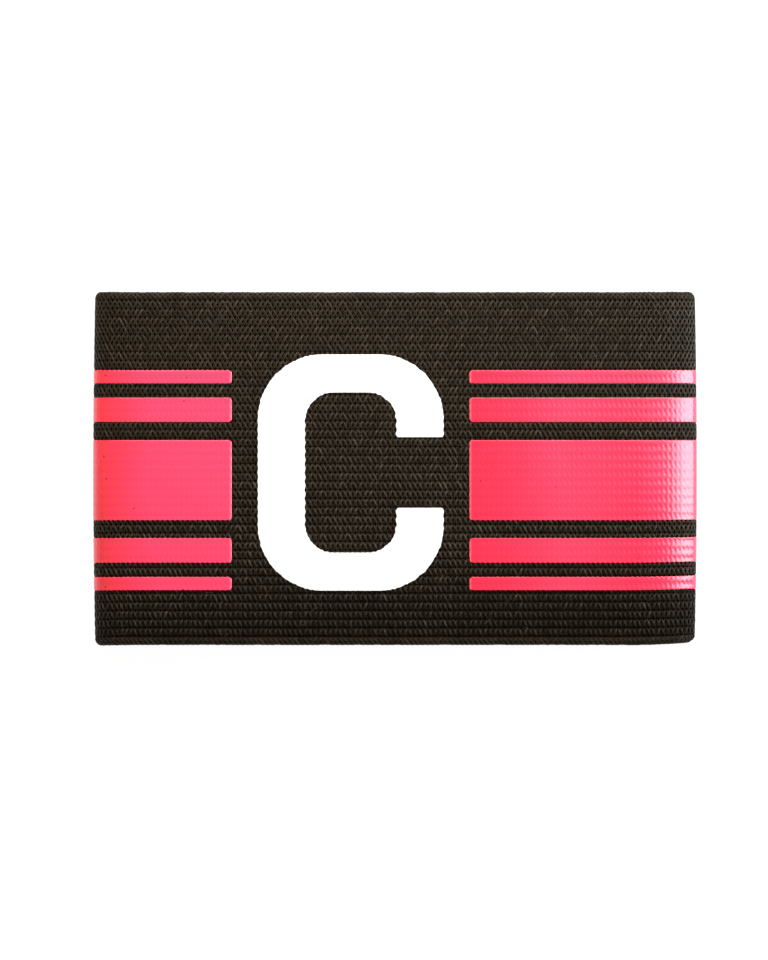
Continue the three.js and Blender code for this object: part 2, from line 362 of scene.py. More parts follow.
def inside_film(u, v):
    """How far inside the nearest film a place lies, or a negative number."""
    best = inside_letter(u, v)
    for place in STRIPES:
        start, end = place["u"]
        middle, half = (start + end) / 2, (end - start) / 2
        from_middle = np.abs(from_face_middle(u - middle))
        across = np.minimum(v - place["v"][0], place["v"][1] - v)
        best = np.maximum(best, np.minimum(half - from_middle, across))
    return best


# Meshes

def mesh_object(name, points, faces, values=None):
    """A smooth mesh of these points and of arrays of faces, one array for each number of corners."""
    mesh = bpy.data.meshes.new(name)
    mesh.vertices.add(len(points))
    mesh.vertices.foreach_set("co", (points * MM).astype(np.float32).ravel())
    corners = np.concatenate([array.ravel() for array in faces]).astype(np.int32)
    totals = np.concatenate([np.full(len(array), array.shape[1]) for array in faces])
    mesh.loops.add(len(corners))
    mesh.loops.foreach_set("vertex_index", corners)
    mesh.polygons.add(len(totals))
    starts = np.concatenate([[0], np.cumsum(totals)[:-1]])
    mesh.polygons.foreach_set("loop_start", starts.astype(np.int32))
    mesh.polygons.foreach_set("loop_total", totals.astype(np.int32))
    mesh.polygons.foreach_set("use_smooth", np.ones(len(totals), bool))
    for key, data in (values or {}).items():
        attribute = mesh.attributes.new(key, "FLOAT", "POINT")
        attribute.data.foreach_set("value", data.astype(np.float32))
    mesh.validate()
    mesh.update()
    piece = bpy.data.objects.new(name, mesh)
    bpy.context.scene.collection.objects.link(piece)
    return piece


def dress(piece, material):
    piece.data.materials.append(material)
    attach(piece, "root")
    return piece


def grid_faces(rows, columns, closed_rows=False, closed_columns=False):
    """Quads over points with the index row * columns + column, facing rows cross columns."""
    row = np.arange(rows if closed_rows else rows - 1)
    column = np.arange(columns if closed_columns else columns - 1)
    row, column = np.meshgrid(row, column, indexing="ij")
    next_row = (row + 1) % rows
    next_column = (column + 1) % columns
    corners = [
        row * columns + column,
        next_row * columns + column,
        next_row * columns + next_column,
        row * columns + next_column,
    ]
    return np.stack(corners, axis=-1).reshape(-1, 4)


def tubes(paths, normals, half_width, half_height, section):
    """Closed tubes, one for each row of paths, flattened along their normals.

    half_width is one number, or one for each tube. section holds the angles of the corners of a
    tube's section, from across it to outwards.
    """
    count, steps, _ = paths.shape
    sides = len(section)
    tangent = np.gradient(paths, axis=1)
    tangent /= np.linalg.norm(tangent, axis=2, keepdims=True)
    across = np.cross(tangent, normals)
    across /= np.linalg.norm(across, axis=2, keepdims=True)
    outwards = np.cross(across, tangent)
    half_width = np.reshape(half_width, (-1, 1, 1, 1))
    wide = np.cos(section)[:, None] * half_width * across[:, :, None, :]
    high = (np.sin(section) * half_height)[:, None] * outwards[:, :, None, :]
    points = (paths[:, :, None, :] + wide + high).reshape(-1, 3)
    wall = grid_faces(steps, sides, closed_columns=True)
    first = np.arange(sides)
    last = (steps - 1) * sides + first[::-1]
    offset = (np.arange(count) * steps * sides)[:, None, None]
    walls = (wall[None] + offset).reshape(-1, 4)
    caps = (np.array([first, last])[None] + offset).reshape(-1, sides)
    return points, [walls, caps]


# The knit's yarns

def relief_left(u):
    """How much of the knit's relief is left as the loop turns into a fold."""
    return 1 - FOLD_FLATTEN * section_value("turn", u) ** 2


def between_edges(values, v):
    """A value that changes from the band's lower edge to its upper one."""
    height = np.clip(v / BAND_WIDTH + 0.5, 0, 1)
    return values["lower"] + (values["upper"] - values["lower"]) * height**EDGE_BLEND


def groove_drop(u, v):
    """How far the knit falls into its grooves: most near the lower edge, little in the folds."""
    return between_edges(GROOVE_DROP, v) * relief_left(u)


def leading_slants():
    """Which of the two yarns lies on top at each crossing, for every stitch of every rib.

    Near the upper edge it is more often the one that leans to the right, and near the lower
    edge a little more often the other.
    """
    height = (np.arange(RIB_COUNT) + 0.5) / RIB_COUNT * 2 - 1
    drift = np.clip(RIGHT_LEAN["slope"] * height, RIGHT_LEAN["least"], 1)
    chance = 0.5 + RIGHT_LEAN["swing"] * drift
    return np.where(random.random((STITCH_COUNT, RIB_COUNT)) < chance, 1, -1)


LEADING = leading_slants()


def wanted_legs(ribs, layer):
    """The legs of these ribs that show: stitch, rib and slant, one row for each leg."""
    stitch, rib, slant = np.meshgrid(np.arange(STITCH_COUNT), ribs, (1, -1), indexing="ij")
    legs = np.stack([stitch.ravel(), rib.ravel(), slant.ravel()], axis=1)
    u = legs[:, 0] * STITCH
    v = (legs[:, 1] + 0.5) * RIB_PITCH - BAND_WIDTH / 2
    on_back = (u > BACK_FROM) & (u < BACK_TO)
    at_seam = np.abs(u - SEAM_AT) < SEAM_GAP
    near_edge = inside_film(u, v) < YARN_UNDER_FILM
    reaches_out = inside_film(u, v + RIB_PITCH / 2) < 0
    reaches_out |= inside_film(u, v - RIB_PITCH / 2) < 0
    shows = (near_edge | reaches_out) & ~at_seam
    return legs[shows & (on_back == (layer == "back"))]


def yarn_tones_and_highlights(count):
    """Most yarns are near the middle tone, at random, and a few are painted lighter: painted highlights,
    as if they catch the light.
    """
    tone = np.exp(random.normal(0, YARN_TONES["spread"], count))
    tone[random.random(count) < YARN_TONES["bright_share"]] *= YARN_TONES["bright"]
    return tone


def painted_place_shade(u, v):
    """The knit is painted darker towards its lower edge, less so on the left, and a little on the right:
    painted shade, as the light falls off.
    """
    x = section_value("x", u) / FLAT_LENGTH
    down = LOW_SHADE["left"] * np.minimum(x, 0) - v / BAND_WIDTH
    low = np.clip((down - LOW_SHADE["start"]) / LOW_SHADE["over"], 0, 1)
    right = np.clip((x - RIGHT_SHADE["start"]) / RIGHT_SHADE["over"], 0, 1)
    return (1 - LOW_SHADE["most"] * low) * (1 - RIGHT_SHADE["most"] * right)


def yarn_values(along, section, tone):
    """For the material: each point's tone and its place along and round its yarn."""
    return {
        "tone": np.repeat(np.broadcast_to(tone, along.shape).ravel(), len(section)),
        "along": np.repeat(along.ravel(), len(section)),
        "around": np.tile(section / TURN, along.size),
    }


def rib_yarns(name, ribs, layer):
    """The crossing yarns of these ribs, each leg running from one groove to the next."""
    leg = FACE_LEG if layer == "face" else BACK_LEG
    legs = wanted_legs(ribs, layer)
    stitch, rib, slant = (legs[:, [column]] for column in range(3))
    t = np.array(leg["path"])[None, :]
    reach = np.abs(2 * t - 1)
    jitter = random.normal(0, YARN_JITTER, (len(legs), 3))
    middle_v = (rib + 0.5) * RIB_PITCH - BAND_WIDTH / 2
    sway = t - 0.5 - between_edges(YARN_FLATNESS, middle_v) * np.sin(TURN * t) / TURN
    u = (stitch + slant * sway) * STITCH + jitter[:, [0]] * (1 - reach)
    v = (rib + t) * RIB_PITCH - BAND_WIDTH / 2 + jitter[:, [1]] * (1 - reach)
    drop = groove_drop(u, v) * reach**GROOVE_SHARPNESS
    leads = LEADING[legs[:, 0], legs[:, 1]][:, None] == slant
    under = np.where(leads, 0, CROSSING_DROP) * np.maximum(0, 1 - reach) * relief_left(u)
    under_film = np.clip(0.5 + inside_film(u, v) / FILM_PRESS["width"], 0, 1)
    depth = YARN_HALF_HEIGHT + drop + under + np.abs(jitter[:, [2]]) * 0.5
    paths = on_loop(u, v, depth + FILM_PRESS["depth"] * under_film)
    section = leg["section"]
    half_width = between_edges(YARN_HALF_WIDTH, middle_v)
    points, faces = tubes(paths, surface_normals(u, v), half_width, YARN_HALF_HEIGHT, section)
    # At a crossing the yarn on top is painted lighter and the one underneath darker: painted light and
    # shade
    crossing_light_and_shade = between_edges(PAINTED_CROSSING_LIGHT_AND_SHADE, middle_v) * np.where(leads, 1, -1)
    # Painted shade: the yarns darker towards a groove
    shade = 1 - between_edges(PAINTED_GROOVE_SHADE, middle_v) * np.minimum(reach, 1) ** 2
    # Painted shade by place, and painted highlights on a few yarns
    tone = yarn_tones_and_highlights(len(legs))[:, None] * (1 + crossing_light_and_shade) * shade * painted_place_shade(u, v)
    along = np.broadcast_to(t, (len(legs), t.shape[1]))
    return mesh_object(name, points, faces, yarn_values(along, section, tone))


def selvedge_line(tuck):
    """Round an edge of the wall, as distances from the edge and depths, set in by tuck."""
    angle = np.linspace(0, math.pi / 2, SELVEDGE_POINTS)
    from_edge = tuck + (SELVEDGE_REACH - tuck) * (1 - np.sin(angle))
    depth = tuck + SELVEDGE_ROUND * (1 - np.cos(angle))
    outer = np.column_stack([from_edge, depth])
    inner = np.column_stack([from_edge, WALL - depth])[::-1]
    return np.vstack([outer, inner])


def edge_yarns(name, sign):
    """The yarns of an outermost rib, which run over it and round the edge to the inner face."""
    line = np.vstack([[RIB_PITCH, 0.0], selvedge_line(0.0)])
    along = np.concatenate([[0], np.cumsum(np.hypot(*np.diff(line, axis=0).T))])
    steps = EDGE_LEG["steps"]
    t = np.linspace(0, 1, steps + 1)
    stations = np.column_stack([np.interp(t * along[-1], along, line[:, k]) for k in (0, 1)])
    tangent = np.gradient(stations, axis=0)
    tangent /= np.linalg.norm(tangent, axis=1, keepdims=True)
    inwards = np.column_stack([-tangent[:, 1], tangent[:, 0]])
    inwards *= np.sign(inwards[steps // 2, 0])
    stitch, slant = np.meshgrid(np.arange(STITCH_COUNT), (1, -1), indexing="ij")
    stitch, slant = stitch.reshape(-1, 1), slant.reshape(-1, 1)
    rib = RIB_COUNT - 1 if sign > 0 else 0
    leads = LEADING[stitch[:, 0], rib][:, None] == slant * sign
    under = np.where(leads, 0, EDGE_DROP) * np.sin(math.pi * t[None, :])
    lean = EDGE_LEAN * along[-1] / RIB_PITCH
    u = (stitch + slant * (t[None, :] * lean - 0.5)) * STITCH
    sink = YARN_HALF_HEIGHT + under
    groove_v = sign * (BAND_WIDTH / 2 - RIB_PITCH)
    from_groove = np.clip(t * along[-1] / (EDGE_LEG["rise"] * RIB_PITCH), 0, 1)
    from_edge = stations[:, 0] + inwards[:, 0] * sink
    depth = stations[:, 1] + inwards[:, 1] * sink + groove_drop(u, groove_v) * (1 - from_groove) ** 2
    paths = on_loop(u, sign * (BAND_WIDTH / 2 - from_edge), depth)
    outwards = on_loop(u, sign * (BAND_WIDTH / 2 - stations[:, 0]), stations[:, 1]) - paths
    outwards /= np.linalg.norm(outwards, axis=-1, keepdims=True)
    section = EDGE_LEG["section"]
    half_width = between_edges(YARN_HALF_WIDTH, groove_v)
    points, faces = tubes(paths, outwards, half_width, YARN_HALF_HEIGHT, section)
    place = np.broadcast_to(t * lean, (len(stitch), len(t)))
    # The same painted shade by place, and painted highlights, as on the other yarns
    tone = yarn_tones_and_highlights(len(stitch))[:, None] * painted_place_shade(u, sign * BAND_WIDTH / 2)
    values = yarn_values(place, section, tone)
    return mesh_object(name, points, faces, values)


LOOSE_FIBRE = {
    "count": 280,  # of which those clear of the films and edges are kept
    "radius": 0.014,
    "length": (0.7, 2.2),
    "heading": (0.9, 0.5),  # the middle and the spread, in radians
    "bend": 0.5,
    "depth": 0.05,
    "lift": 0.12,
    "clearance": 0.2,
}


def loose_fibres(name):
    """A few fine broken fibres that lie on the knit, between the films."""
    count = LOOSE_FIBRE["count"]
    u = random.uniform(-0.47, 0.47, count) * FLAT_LENGTH
    v = random.uniform(-0.48, 0.48, count) * BAND_WIDTH
    heading = random.normal(*LOOSE_FIBRE["heading"], count)[:, None]
    length = random.uniform(*LOOSE_FIBRE["length"], count)[:, None]
    bend = random.normal(0, LOOSE_FIBRE["bend"], count)[:, None]
    t = np.linspace(-0.5, 0.5, 6)[None, :]
    u = u[:, None] + np.cos(heading + bend * t) * length * t
    v = v[:, None] + np.sin(heading + bend * t) * length * t
    clear = (inside_film(u, v) < -LOOSE_FIBRE["clearance"]).all(axis=1)
    clear &= (np.abs(v) < BAND_WIDTH / 2 - 1).all(axis=1)
    u, v = u[clear], v[clear]
    lift = LOOSE_FIBRE["lift"] * np.cos(math.pi * t) * random.random((len(u), 1))
    paths = on_loop(u, v, LOOSE_FIBRE["depth"] - lift)
    radius = LOOSE_FIBRE["radius"]
    section = np.radians((-30, 90, 210))
    points, faces = tubes(paths, surface_normals(u, v), radius, radius, section)
    return mesh_object(name, points, faces)


# The body under the yarns

def body_stations():
    """Round the loop: close together in the folds and at the seam, wider on the flats."""
    stations = [0.0]
    while stations[-1] < LOOP_LENGTH:
        here = stations[-1]
        bending = max(section_value("turn", here), section_value("turn", here + 1)) > BENDING
        near_seam = abs(here - SEAM_AT) < SEAM_REACH
        kind = "fold" if bending else "seam" if near_seam else "flat"
        stations.append(here + BODY_STEPS[kind])
    return np.array(stations[:-1])


def body_profile():
    """Across the wall: the ribbed outer face, an edge, the inner face and the other edge."""
    plain = BAND_WIDTH / 2 - SELVEDGE_REACH - 0.05
    edge = selvedge_line(BODY_TUCK)
    outer_v = np.linspace(-1, 1, RIB_COUNT * 2 + 1) * BAND_WIDTH / 2
    outer_v = outer_v[np.abs(outer_v) < plain]
    inner_v = np.linspace(1, -1, RIB_COUNT * 2 + 1) * BAND_WIDTH / 2
    inner_v = inner_v[np.abs(inner_v) < plain]
    outer = np.column_stack([outer_v, np.full_like(outer_v, BODY_DEPTH)])
    inner = np.column_stack([inner_v, WALL - INNER_GROOVE * groove_share(inner_v)])
    upper_edge = np.column_stack([BAND_WIDTH / 2 - edge[:, 0], edge[:, 1]])
    lower_edge = np.column_stack([edge[:, 0] - BAND_WIDTH / 2, edge[:, 1]])[::-1]
    return np.vstack([outer, upper_edge, inner, lower_edge])


def make_body():
    profile = body_profile()
    u = body_stations()[:, None]
    v, depth = profile[:, 0][None, :], profile[:, 1][None, :]
    groove = np.where(depth == BODY_DEPTH, BODY_GROOVE * groove_share(v), 0) * relief_left(u)
    at_seam = np.exp(-(((u - SEAM_AT) / SEAM_NOTCH["width"]) ** 2))
    outside = np.clip(1 - depth / (WALL / 2), -1, 1)
    notch = SEAM_NOTCH["depth"] * at_seam * outside
    points = on_loop(u, v, depth + groove + notch).reshape(-1, 3)
    faces = grid_faces(u.shape[0], profile.shape[0], closed_rows=True, closed_columns=True)
    return mesh_object("elastic_body", points, [faces])


# The films

def rolled(distance, roll):
    """How far a film has rolled down at this distance from its edge."""
    return roll["drop"] * (1 - np.clip(distance / roll["width"], 0, 1)) ** 2


def scallop(u, v, distance):
    """How far a film's edge draws in where the knit falls away under it."""
    depth = FILM_SCALLOP["hole"] * hole_share(u, v) + FILM_SCALLOP["groove"] * groove_share(v)
    return depth * np.exp(-distance / SCALLOP_FADE)


def rows_between(low, high, count):
    """Places from one edge to the other: a few close rows at each, and even rows between them."""
    low, high = np.asarray(low)[:, None], np.asarray(high)[:, None]
    share = np.linspace(0, 1, count)[None, :]
    inside = low + FILM_INSIDE + (high - low - 2 * FILM_INSIDE) * share
    return np.hstack([low + FILM_EDGE_ROWS, inside, high - FILM_EDGE_ROWS[::-1]])


def film_shell(name, u, v, roll, painted_end_highlight):
    """A closed skin over a grid of places, u by v, with a skirt that goes down into the knit.

    roll is how far each point has rolled down at the edges. The back is a ladder between the two
    long edges, with one many-sided face at each end.
    """
    rows, columns = u.shape
    sag = FILM_SAG["groove"] * groove_share(v) + FILM_SAG["hole"] * hole_share(u, v)
    sag = sag + FILM_SAG["ridge"] * ridge_share(u, v)
    front = on_loop(u, v, sag - FILM_PROUD + roll).reshape(-1, 3)
    index = np.arange(rows * columns).reshape(rows, columns)
    ring = np.concatenate([index[0, :], index[1:, -1], index[-1, -2::-1], index[-2:0:-1, 0]])
    back = on_loop(u.ravel()[ring], v.ravel()[ring], FILM_EDGE_DEPTH)
    lower = np.full(rows * columns, -1)
    lower[ring] = rows * columns + np.arange(len(ring))
    following = np.roll(ring, -1)
    skirt = np.column_stack([ring, following, lower[following], lower[ring]])
    ladder = np.column_stack([
        lower[index[2:-1, 0]],
        lower[index[1:-2, 0]],
        lower[index[1:-2, -1]],
        lower[index[2:-1, -1]],
    ])
    first = np.concatenate([lower[index[0, :]], lower[index[1, [-1, 0]]]])[None, :]
    last = np.concatenate([lower[index[-1, ::-1]], lower[index[-2, [0, -1]]]])[None, :]
    faces = [grid_faces(rows, columns), skirt, ladder, first, last]
    # The skirt is painted dark, as painted shade where the film goes down into the knit, and the ends
    # paler, as a painted highlight
    painted_skirt_shade = np.concatenate([np.zeros(rows * columns), np.ones(len(ring))])
    values = {"painted_skirt_shade": painted_skirt_shade, "painted_end_highlight": np.concatenate([painted_end_highlight.ravel(), np.zeros(len(ring))])}
    return mesh_object(name, np.vstack([front, back]), faces, values)


def flat_stations(start, end):
    """Along a stripe: four rows a stitch where it shows from above, and two on the back."""
    stations = [start]
    while stations[-1] < end:
        on_back = BACK_FROM < np.mod(stations[-1], LOOP_LENGTH) < BACK_TO
        stations.append(stations[-1] + (STITCH / 2 if on_back else STITCH / 4))
    stations = np.array(stations)
    return start + (stations - start) * (end - start) / (stations[-1] - start)


def stripe_film(place):
    """A bar round a fold, with rounded corners and edges that follow the knit."""
    start, end = place["u"]
    low, high = place["v"]
    middle, half = (low + high) / 2, (high - low) / 2
    radius = min(FILM_CORNER, 0.9 * half)
    bend = radius * (1 - np.cos(np.linspace(0, math.pi / 2, CORNER_POINTS)))
    flat = flat_stations(start + radius, end - radius)
    stations = np.concatenate([start + bend[:-1], flat, end - bend[-2::-1]])
    from_end = np.minimum(stations - start, end - stations)
    cut = np.clip(radius - from_end, 0, radius)
    half_here = half - radius + np.sqrt(radius**2 - cut**2)
    across = rows_between(-half_here, half_here, max(4, round(2 * half / FILM_GRID)))
    from_side = half_here[:, None] - np.abs(across)
    from_end = np.broadcast_to(from_end[:, None], across.shape)
    u = np.broadcast_to(stations[:, None], across.shape)
    v = middle + across
    roll = np.maximum(rolled(from_side, SIDE_ROLL), rolled(from_end, END_ROLL))
    # Near its ends the film is painted paler, as a painted highlight
    painted_end_highlight = np.clip(1 - from_end / END_ROLL["width"], 0, 1)
    towards_middle = np.where(stations < (start + end) / 2, 1, -1)[:, None]
    drawn_u = u + towards_middle * END_SCALLOP * scallop(u, v, from_end)
    drawn_v = v - np.sign(across) * scallop(u, v, from_side)
    side, _, part = place["node"].partition("_")
    return film_shell(f"{side}_film_{part}", drawn_u, drawn_v, roll, painted_end_highlight)


def letter_outline(half, radius):
    """One outline of the letter, from its upper end round to the middle of its back."""
    gap = LETTER_APERTURE / 2
    arc = np.linspace(0, math.pi / 2, LETTER_POINTS["arc"])
    from_mouth = rows_between([gap], [half[1] - radius], LETTER_POINTS["end"])[0]
    right = [(half[0], y) for y in from_mouth[:-len(FILM_EDGE_ROWS)]]
    into_level = [
        (half[0] - radius + radius * math.cos(a), half[1] - radius + radius * math.sin(a))
        for a in arc
    ]
    level_x = np.linspace(half[0] - radius, radius - half[0], LETTER_POINTS["level"])
    level = [(x, half[1]) for x in level_x]
    into_back = [
        (radius - half[0] - radius * math.sin(a), half[1] - radius + radius * math.cos(a))
        for a in arc
    ]
    back = [(-half[0], y) for y in np.linspace(half[1] - radius, 0, LETTER_POINTS["back"])]
    return np.array(right + into_level + level[1:] + into_back[1:] + back[1:])


def letter_film():
    centre = (LETTER_LOW + LETTER_HIGH) / 2
    half = (LETTER_HIGH - LETTER_LOW) / 2
    inner_half = half - (LETTER_UPRIGHT, LETTER_LEVEL)
    outlines = []
    for box, radius in ((half, LETTER_OUTER_RADIUS), (inner_half, LETTER_INNER_RADIUS)):
        upper = letter_outline(box, radius)
        outlines.append(np.vstack([upper, upper[-2::-1] * (1, -1)]))
    outer, inner = outlines
    width = np.linalg.norm(inner - outer, axis=1)
    direction = (inner - outer) / width[:, None]
    # The two ends of the stroke are where it stops at the mouth, on the right
    from_end = np.where(outer[:, 0] > 0, np.abs(outer[:, 1]) - LETTER_APERTURE / 2, LETTER_UPRIGHT)
    cut = np.clip(LETTER_END_RADIUS - from_end, 0, LETTER_END_RADIUS)
    drawn_in = LETTER_END_RADIUS - np.sqrt(LETTER_END_RADIUS**2 - cut**2)
    across = rows_between(drawn_in, width - drawn_in, LETTER_POINTS["across"])
    from_side = np.minimum(across - across[:, :1], across[:, -1:] - across)
    from_end = np.broadcast_to(from_end[:, None], across.shape)
    u = centre[0] + outer[:, [0]] + direction[:, [0]] * across
    v = centre[1] + outer[:, [1]] + direction[:, [1]] * across
    towards_middle = np.where(across < width[:, None] / 2, 1, -1)
    inwards = towards_middle * LETTER_SCALLOP * scallop(u, v, from_side)
    roll = np.maximum(rolled(from_side, SIDE_ROLL), rolled(from_end, SIDE_ROLL))
    u = u + inwards * direction[:, [0]]
    v = v + inwards * direction[:, [1]]
    return film_shell("letter_film", u, v, roll, np.zeros_like(u))


# The seam on the back

# outside and inside are the depths of the two threads, each below its own face
SEAM_STITCH = {
    "half_width": 1.6,
    "pitch": 1.5,
    "radius": 0.15,
    "margin": 1.5,
    "sink": 0.22,
    "outside": 0.17,
    "inside": 0.15,
}


def seam_thread(name, depth, phase):
    """A zigzag of thread over the butt seam."""
    length = BAND_WIDTH - 2 * SEAM_STITCH["margin"]
    legs = 2 * round(length / SEAM_STITCH["pitch"])
    corner = np.arange(legs + 1)
    fine = np.linspace(0, legs, legs * 5 + 1)
    v = np.interp(fine, corner, (corner / legs - 0.5) * length)
    swing = np.where(corner % 2 == phase, 1, -1) * SEAM_STITCH["half_width"]
    u = SEAM_AT + np.interp(fine, corner, swing)
    from_corner = np.abs(fine - np.round(fine)) * 2
    sink = depth + SEAM_STITCH["sink"] * (1 - from_corner) ** 2
    radius = SEAM_STITCH["radius"]
    section = TURN * np.arange(6) / 6
    normals = surface_normals(u, v)[None]
    points, faces = tubes(on_loop(u, v, sink)[None], normals, radius, radius, section)
    return mesh_object(name, points, faces)


# Materials

def new_material(name):
    material = bpy.data.materials.new(name)
    material.use_nodes = True
    tree = material.node_tree
    tree.nodes.clear()
    output = tree.nodes.new("ShaderNodeOutputMaterial")
    shader = tree.nodes.new("ShaderNodeBsdfPrincipled")
    tree.links.new(shader.outputs["BSDF"], output.inputs["Surface"])
    return material, tree, shader


def set_inputs(tree, target, inputs):
    """Inputs of a node: a value is set, and a socket is linked."""
    for key, value in inputs.items():
        if isinstance(value, bpy.types.NodeSocket):
            tree.links.new(value, target.inputs[key])
        else:
            target.inputs[key].default_value = value


def node(tree, kind, inputs, **settings):
    made = tree.nodes.new(kind)
    for key, value in settings.items():
        setattr(made, key, value)
    set_inputs(tree, made, inputs)
    return made


def object_place(tree):
    return node(tree, "ShaderNodeTexCoord", {}).outputs["Object"]


def noise(tree, scale, detail=2.0, roughness=0.5):
    inputs = {"Vector": object_place(tree), "Scale": scale, "Detail": detail, "Roughness": roughness}
    return node(tree, "ShaderNodeTexNoise", inputs).outputs["Fac"]


def ramp(tree, factor, stops):
    made = node(tree, "ShaderNodeValToRGB", {"Fac": factor})
    elements = made.color_ramp.elements
    while len(elements) < len(stops):
        elements.new(1.0)
    for element, (position, colour) in zip(elements, stops):
        element.position = position
        element.color = (*colour, 1.0)
    return made.outputs["Color"]


def maths(tree, operation, first, second=0.0):
    made = node(tree, "ShaderNodeMath", {0: first, 1: second}, operation=operation)
    return made.outputs["Value"]


def mapped(tree, value, low, high):
    """A value from 0 to 1, stretched to run from low to high."""
    made = node(tree, "ShaderNodeMapRange", {"Value": value, "To Min": low, "To Max": high})
    return made.outputs["Result"]


def attribute(tree, name):
    return node(tree, "ShaderNodeAttribute", {}, attribute_name=name).outputs["Fac"]


def multiplied(tree, colour, factor):
    made = node(tree, "ShaderNodeVectorMath", {0: colour, "Scale": factor}, operation="SCALE")
    return made.outputs["Vector"]


def mixed(tree, factor, first, second):
    """Two colours mixed by a factor. The second is given as three numbers."""
    inputs = {"Factor": factor, "A": first, "B": (*second, 1.0)}
    return node(tree, "ShaderNodeMix", inputs, data_type="RGBA").outputs["Result"]


def bumped(tree, height, strength, distance):
    inputs = {"Height": height, "Strength": strength, "Distance": distance}
    return node(tree, "ShaderNodeBump", inputs).outputs["Normal"]


FILAMENTS = 9  # round a yarn
TWISTS = 2  # of the filaments, from one end of a leg to the other


def yarn_material():
    """Dark brown-black textured yarn: each leg has its own tone, which holds random differences and
    painted light and shade, and fine filaments run along it.
    """
    material, tree, shader = new_material("knit_yarn")
    patches = noise(tree, 90, detail=3)
    fibres = noise(tree, 6000, roughness=0.7)
    base = ramp(tree, patches, [(0.3, (0.015, 0.0094, 0.0026)), (0.7, (0.0195, 0.0127, 0.004))])
    toned = multiplied(tree, base, attribute(tree, "tone"))
    around = maths(tree, "MULTIPLY", attribute(tree, "around"), FILAMENTS * TURN)
    twist = maths(tree, "MULTIPLY", attribute(tree, "along"), TWISTS * TURN)
    filaments = maths(tree, "SINE", maths(tree, "ADD", around, twist))
    relief = maths(tree, "ADD", maths(tree, "MULTIPLY", filaments, 0.3), fibres)
    set_inputs(tree, shader, {
        "Base Color": multiplied(tree, toned, mapped(tree, fibres, 0.3, 1.7)),
        "Roughness": mapped(tree, fibres, 0.3, 0.5),
        "Normal": bumped(tree, relief, 0.7, 0.00006),
        # The specular level follows the tone, so the painted shade and highlights change it too
        "Specular IOR Level": maths(tree, "MULTIPLY", attribute(tree, "tone"), 0.24),
        "Sheen Weight": 0.02,
        "Sheen Roughness": 0.35,
        "Sheen Tint": (0.7, 0.58, 0.45, 1.0),
    })
    return material


def body_material():
    """The covered rubber and inner yarns, seen in the holes of the knit and inside the loop. Its
    near-black colour is partly its own and partly painted shade for the holes.
    """
    material, tree, shader = new_material("knit_body")
    patches = noise(tree, 160, detail=4)
    fibres = noise(tree, 4000, detail=3, roughness=0.7)
    base = ramp(tree, patches, [(0.3, (0.006, 0.0032, 0.001)), (0.7, (0.0095, 0.0055, 0.002))])
    inputs = {"Vector": object_place(tree), "Scale": 1 / (STITCH * MM * TURN), "Distortion": 2.0}
    stitches = node(tree, "ShaderNodeTexWave", inputs).outputs["Fac"]
    set_inputs(tree, shader, {
        "Base Color": multiplied(tree, base, mapped(tree, fibres, 0.5, 1.5)),
        "Roughness": mapped(tree, fibres, 0.75, 0.95),
        "Normal": bumped(tree, maths(tree, "ADD", stitches, fibres), 0.6, 0.0001),
        "Specular IOR Level": 0.15,
    })
    return material


SPOT = {"scale": 190.0, "size": 0.034, "strength": 0.8}  # size is a share of a cell
# How much paler a film's ends are painted: a painted highlight
PAINTED_END_HIGHLIGHT = 0.45


def spots(tree, chance):
    """1 on small round spots, thinly scattered over a film, and 0 between them."""
    inputs = {"Vector": object_place(tree), "Scale": SPOT["scale"]}
    cells = node(tree, "ShaderNodeTexVoronoi", inputs, voronoi_dimensions="2D")
    pick = node(tree, "ShaderNodeSeparateColor", {"Color": cells.outputs["Color"]}).outputs["Red"]
    chosen = maths(tree, "LESS_THAN", pick, chance)
    near = maths(tree, "LESS_THAN", cells.outputs["Distance"], SPOT["size"])
    return maths(tree, "MULTIPLY", chosen, near)


def along_band(tree):
    """0 at the left fold, 1 at the right one, with a little unevenness."""
    x = node(tree, "ShaderNodeSeparateXYZ", {"Vector": object_place(tree)}).outputs["X"]
    uneven = maths(tree, "MULTIPLY", maths(tree, "SUBTRACT", noise(tree, 60), 0.5), 0.06)
    share = maths(tree, "MULTIPLY", x, 1 / (FLAT_LENGTH * MM))
    return maths(tree, "ADD", maths(tree, "ADD", share, 0.5), uneven)


def film_material(name, stops, skirt_shade_and_speck_colour, painted_end_highlight_colour, roughness, gloss, spot_chance):
    """A pressed film: its colour drifts along the band, which on the pink film is painted sheen and
    painted shade; its skirt is painted dark, as painted shade where it goes into the knit; its ends are
    painted paler, as a painted highlight; and it has marks.
    """
    material, tree, shader = new_material(name)
    grain = noise(tree, 1500, detail=3, roughness=0.6)
    base = ramp(tree, along_band(tree), stops)
    # The ends painted paler: a painted highlight
    base = mixed(tree, maths(tree, "MULTIPLY", attribute(tree, "painted_end_highlight"), PAINTED_END_HIGHLIGHT), base, painted_end_highlight_colour)
    # The skirt painted dark: painted shade
    base = mixed(tree, attribute(tree, "painted_skirt_shade"), base, skirt_shade_and_speck_colour)
    spotted = maths(tree, "MULTIPLY", spots(tree, spot_chance), SPOT["strength"])
    set_inputs(tree, shader, {
        "Base Color": mixed(tree, spotted, base, skirt_shade_and_speck_colour),
        "Roughness": mapped(tree, grain, *roughness),
        "Normal": bumped(tree, grain, 0.25, 0.00008),
        "Specular IOR Level": gloss,
    })
    return material


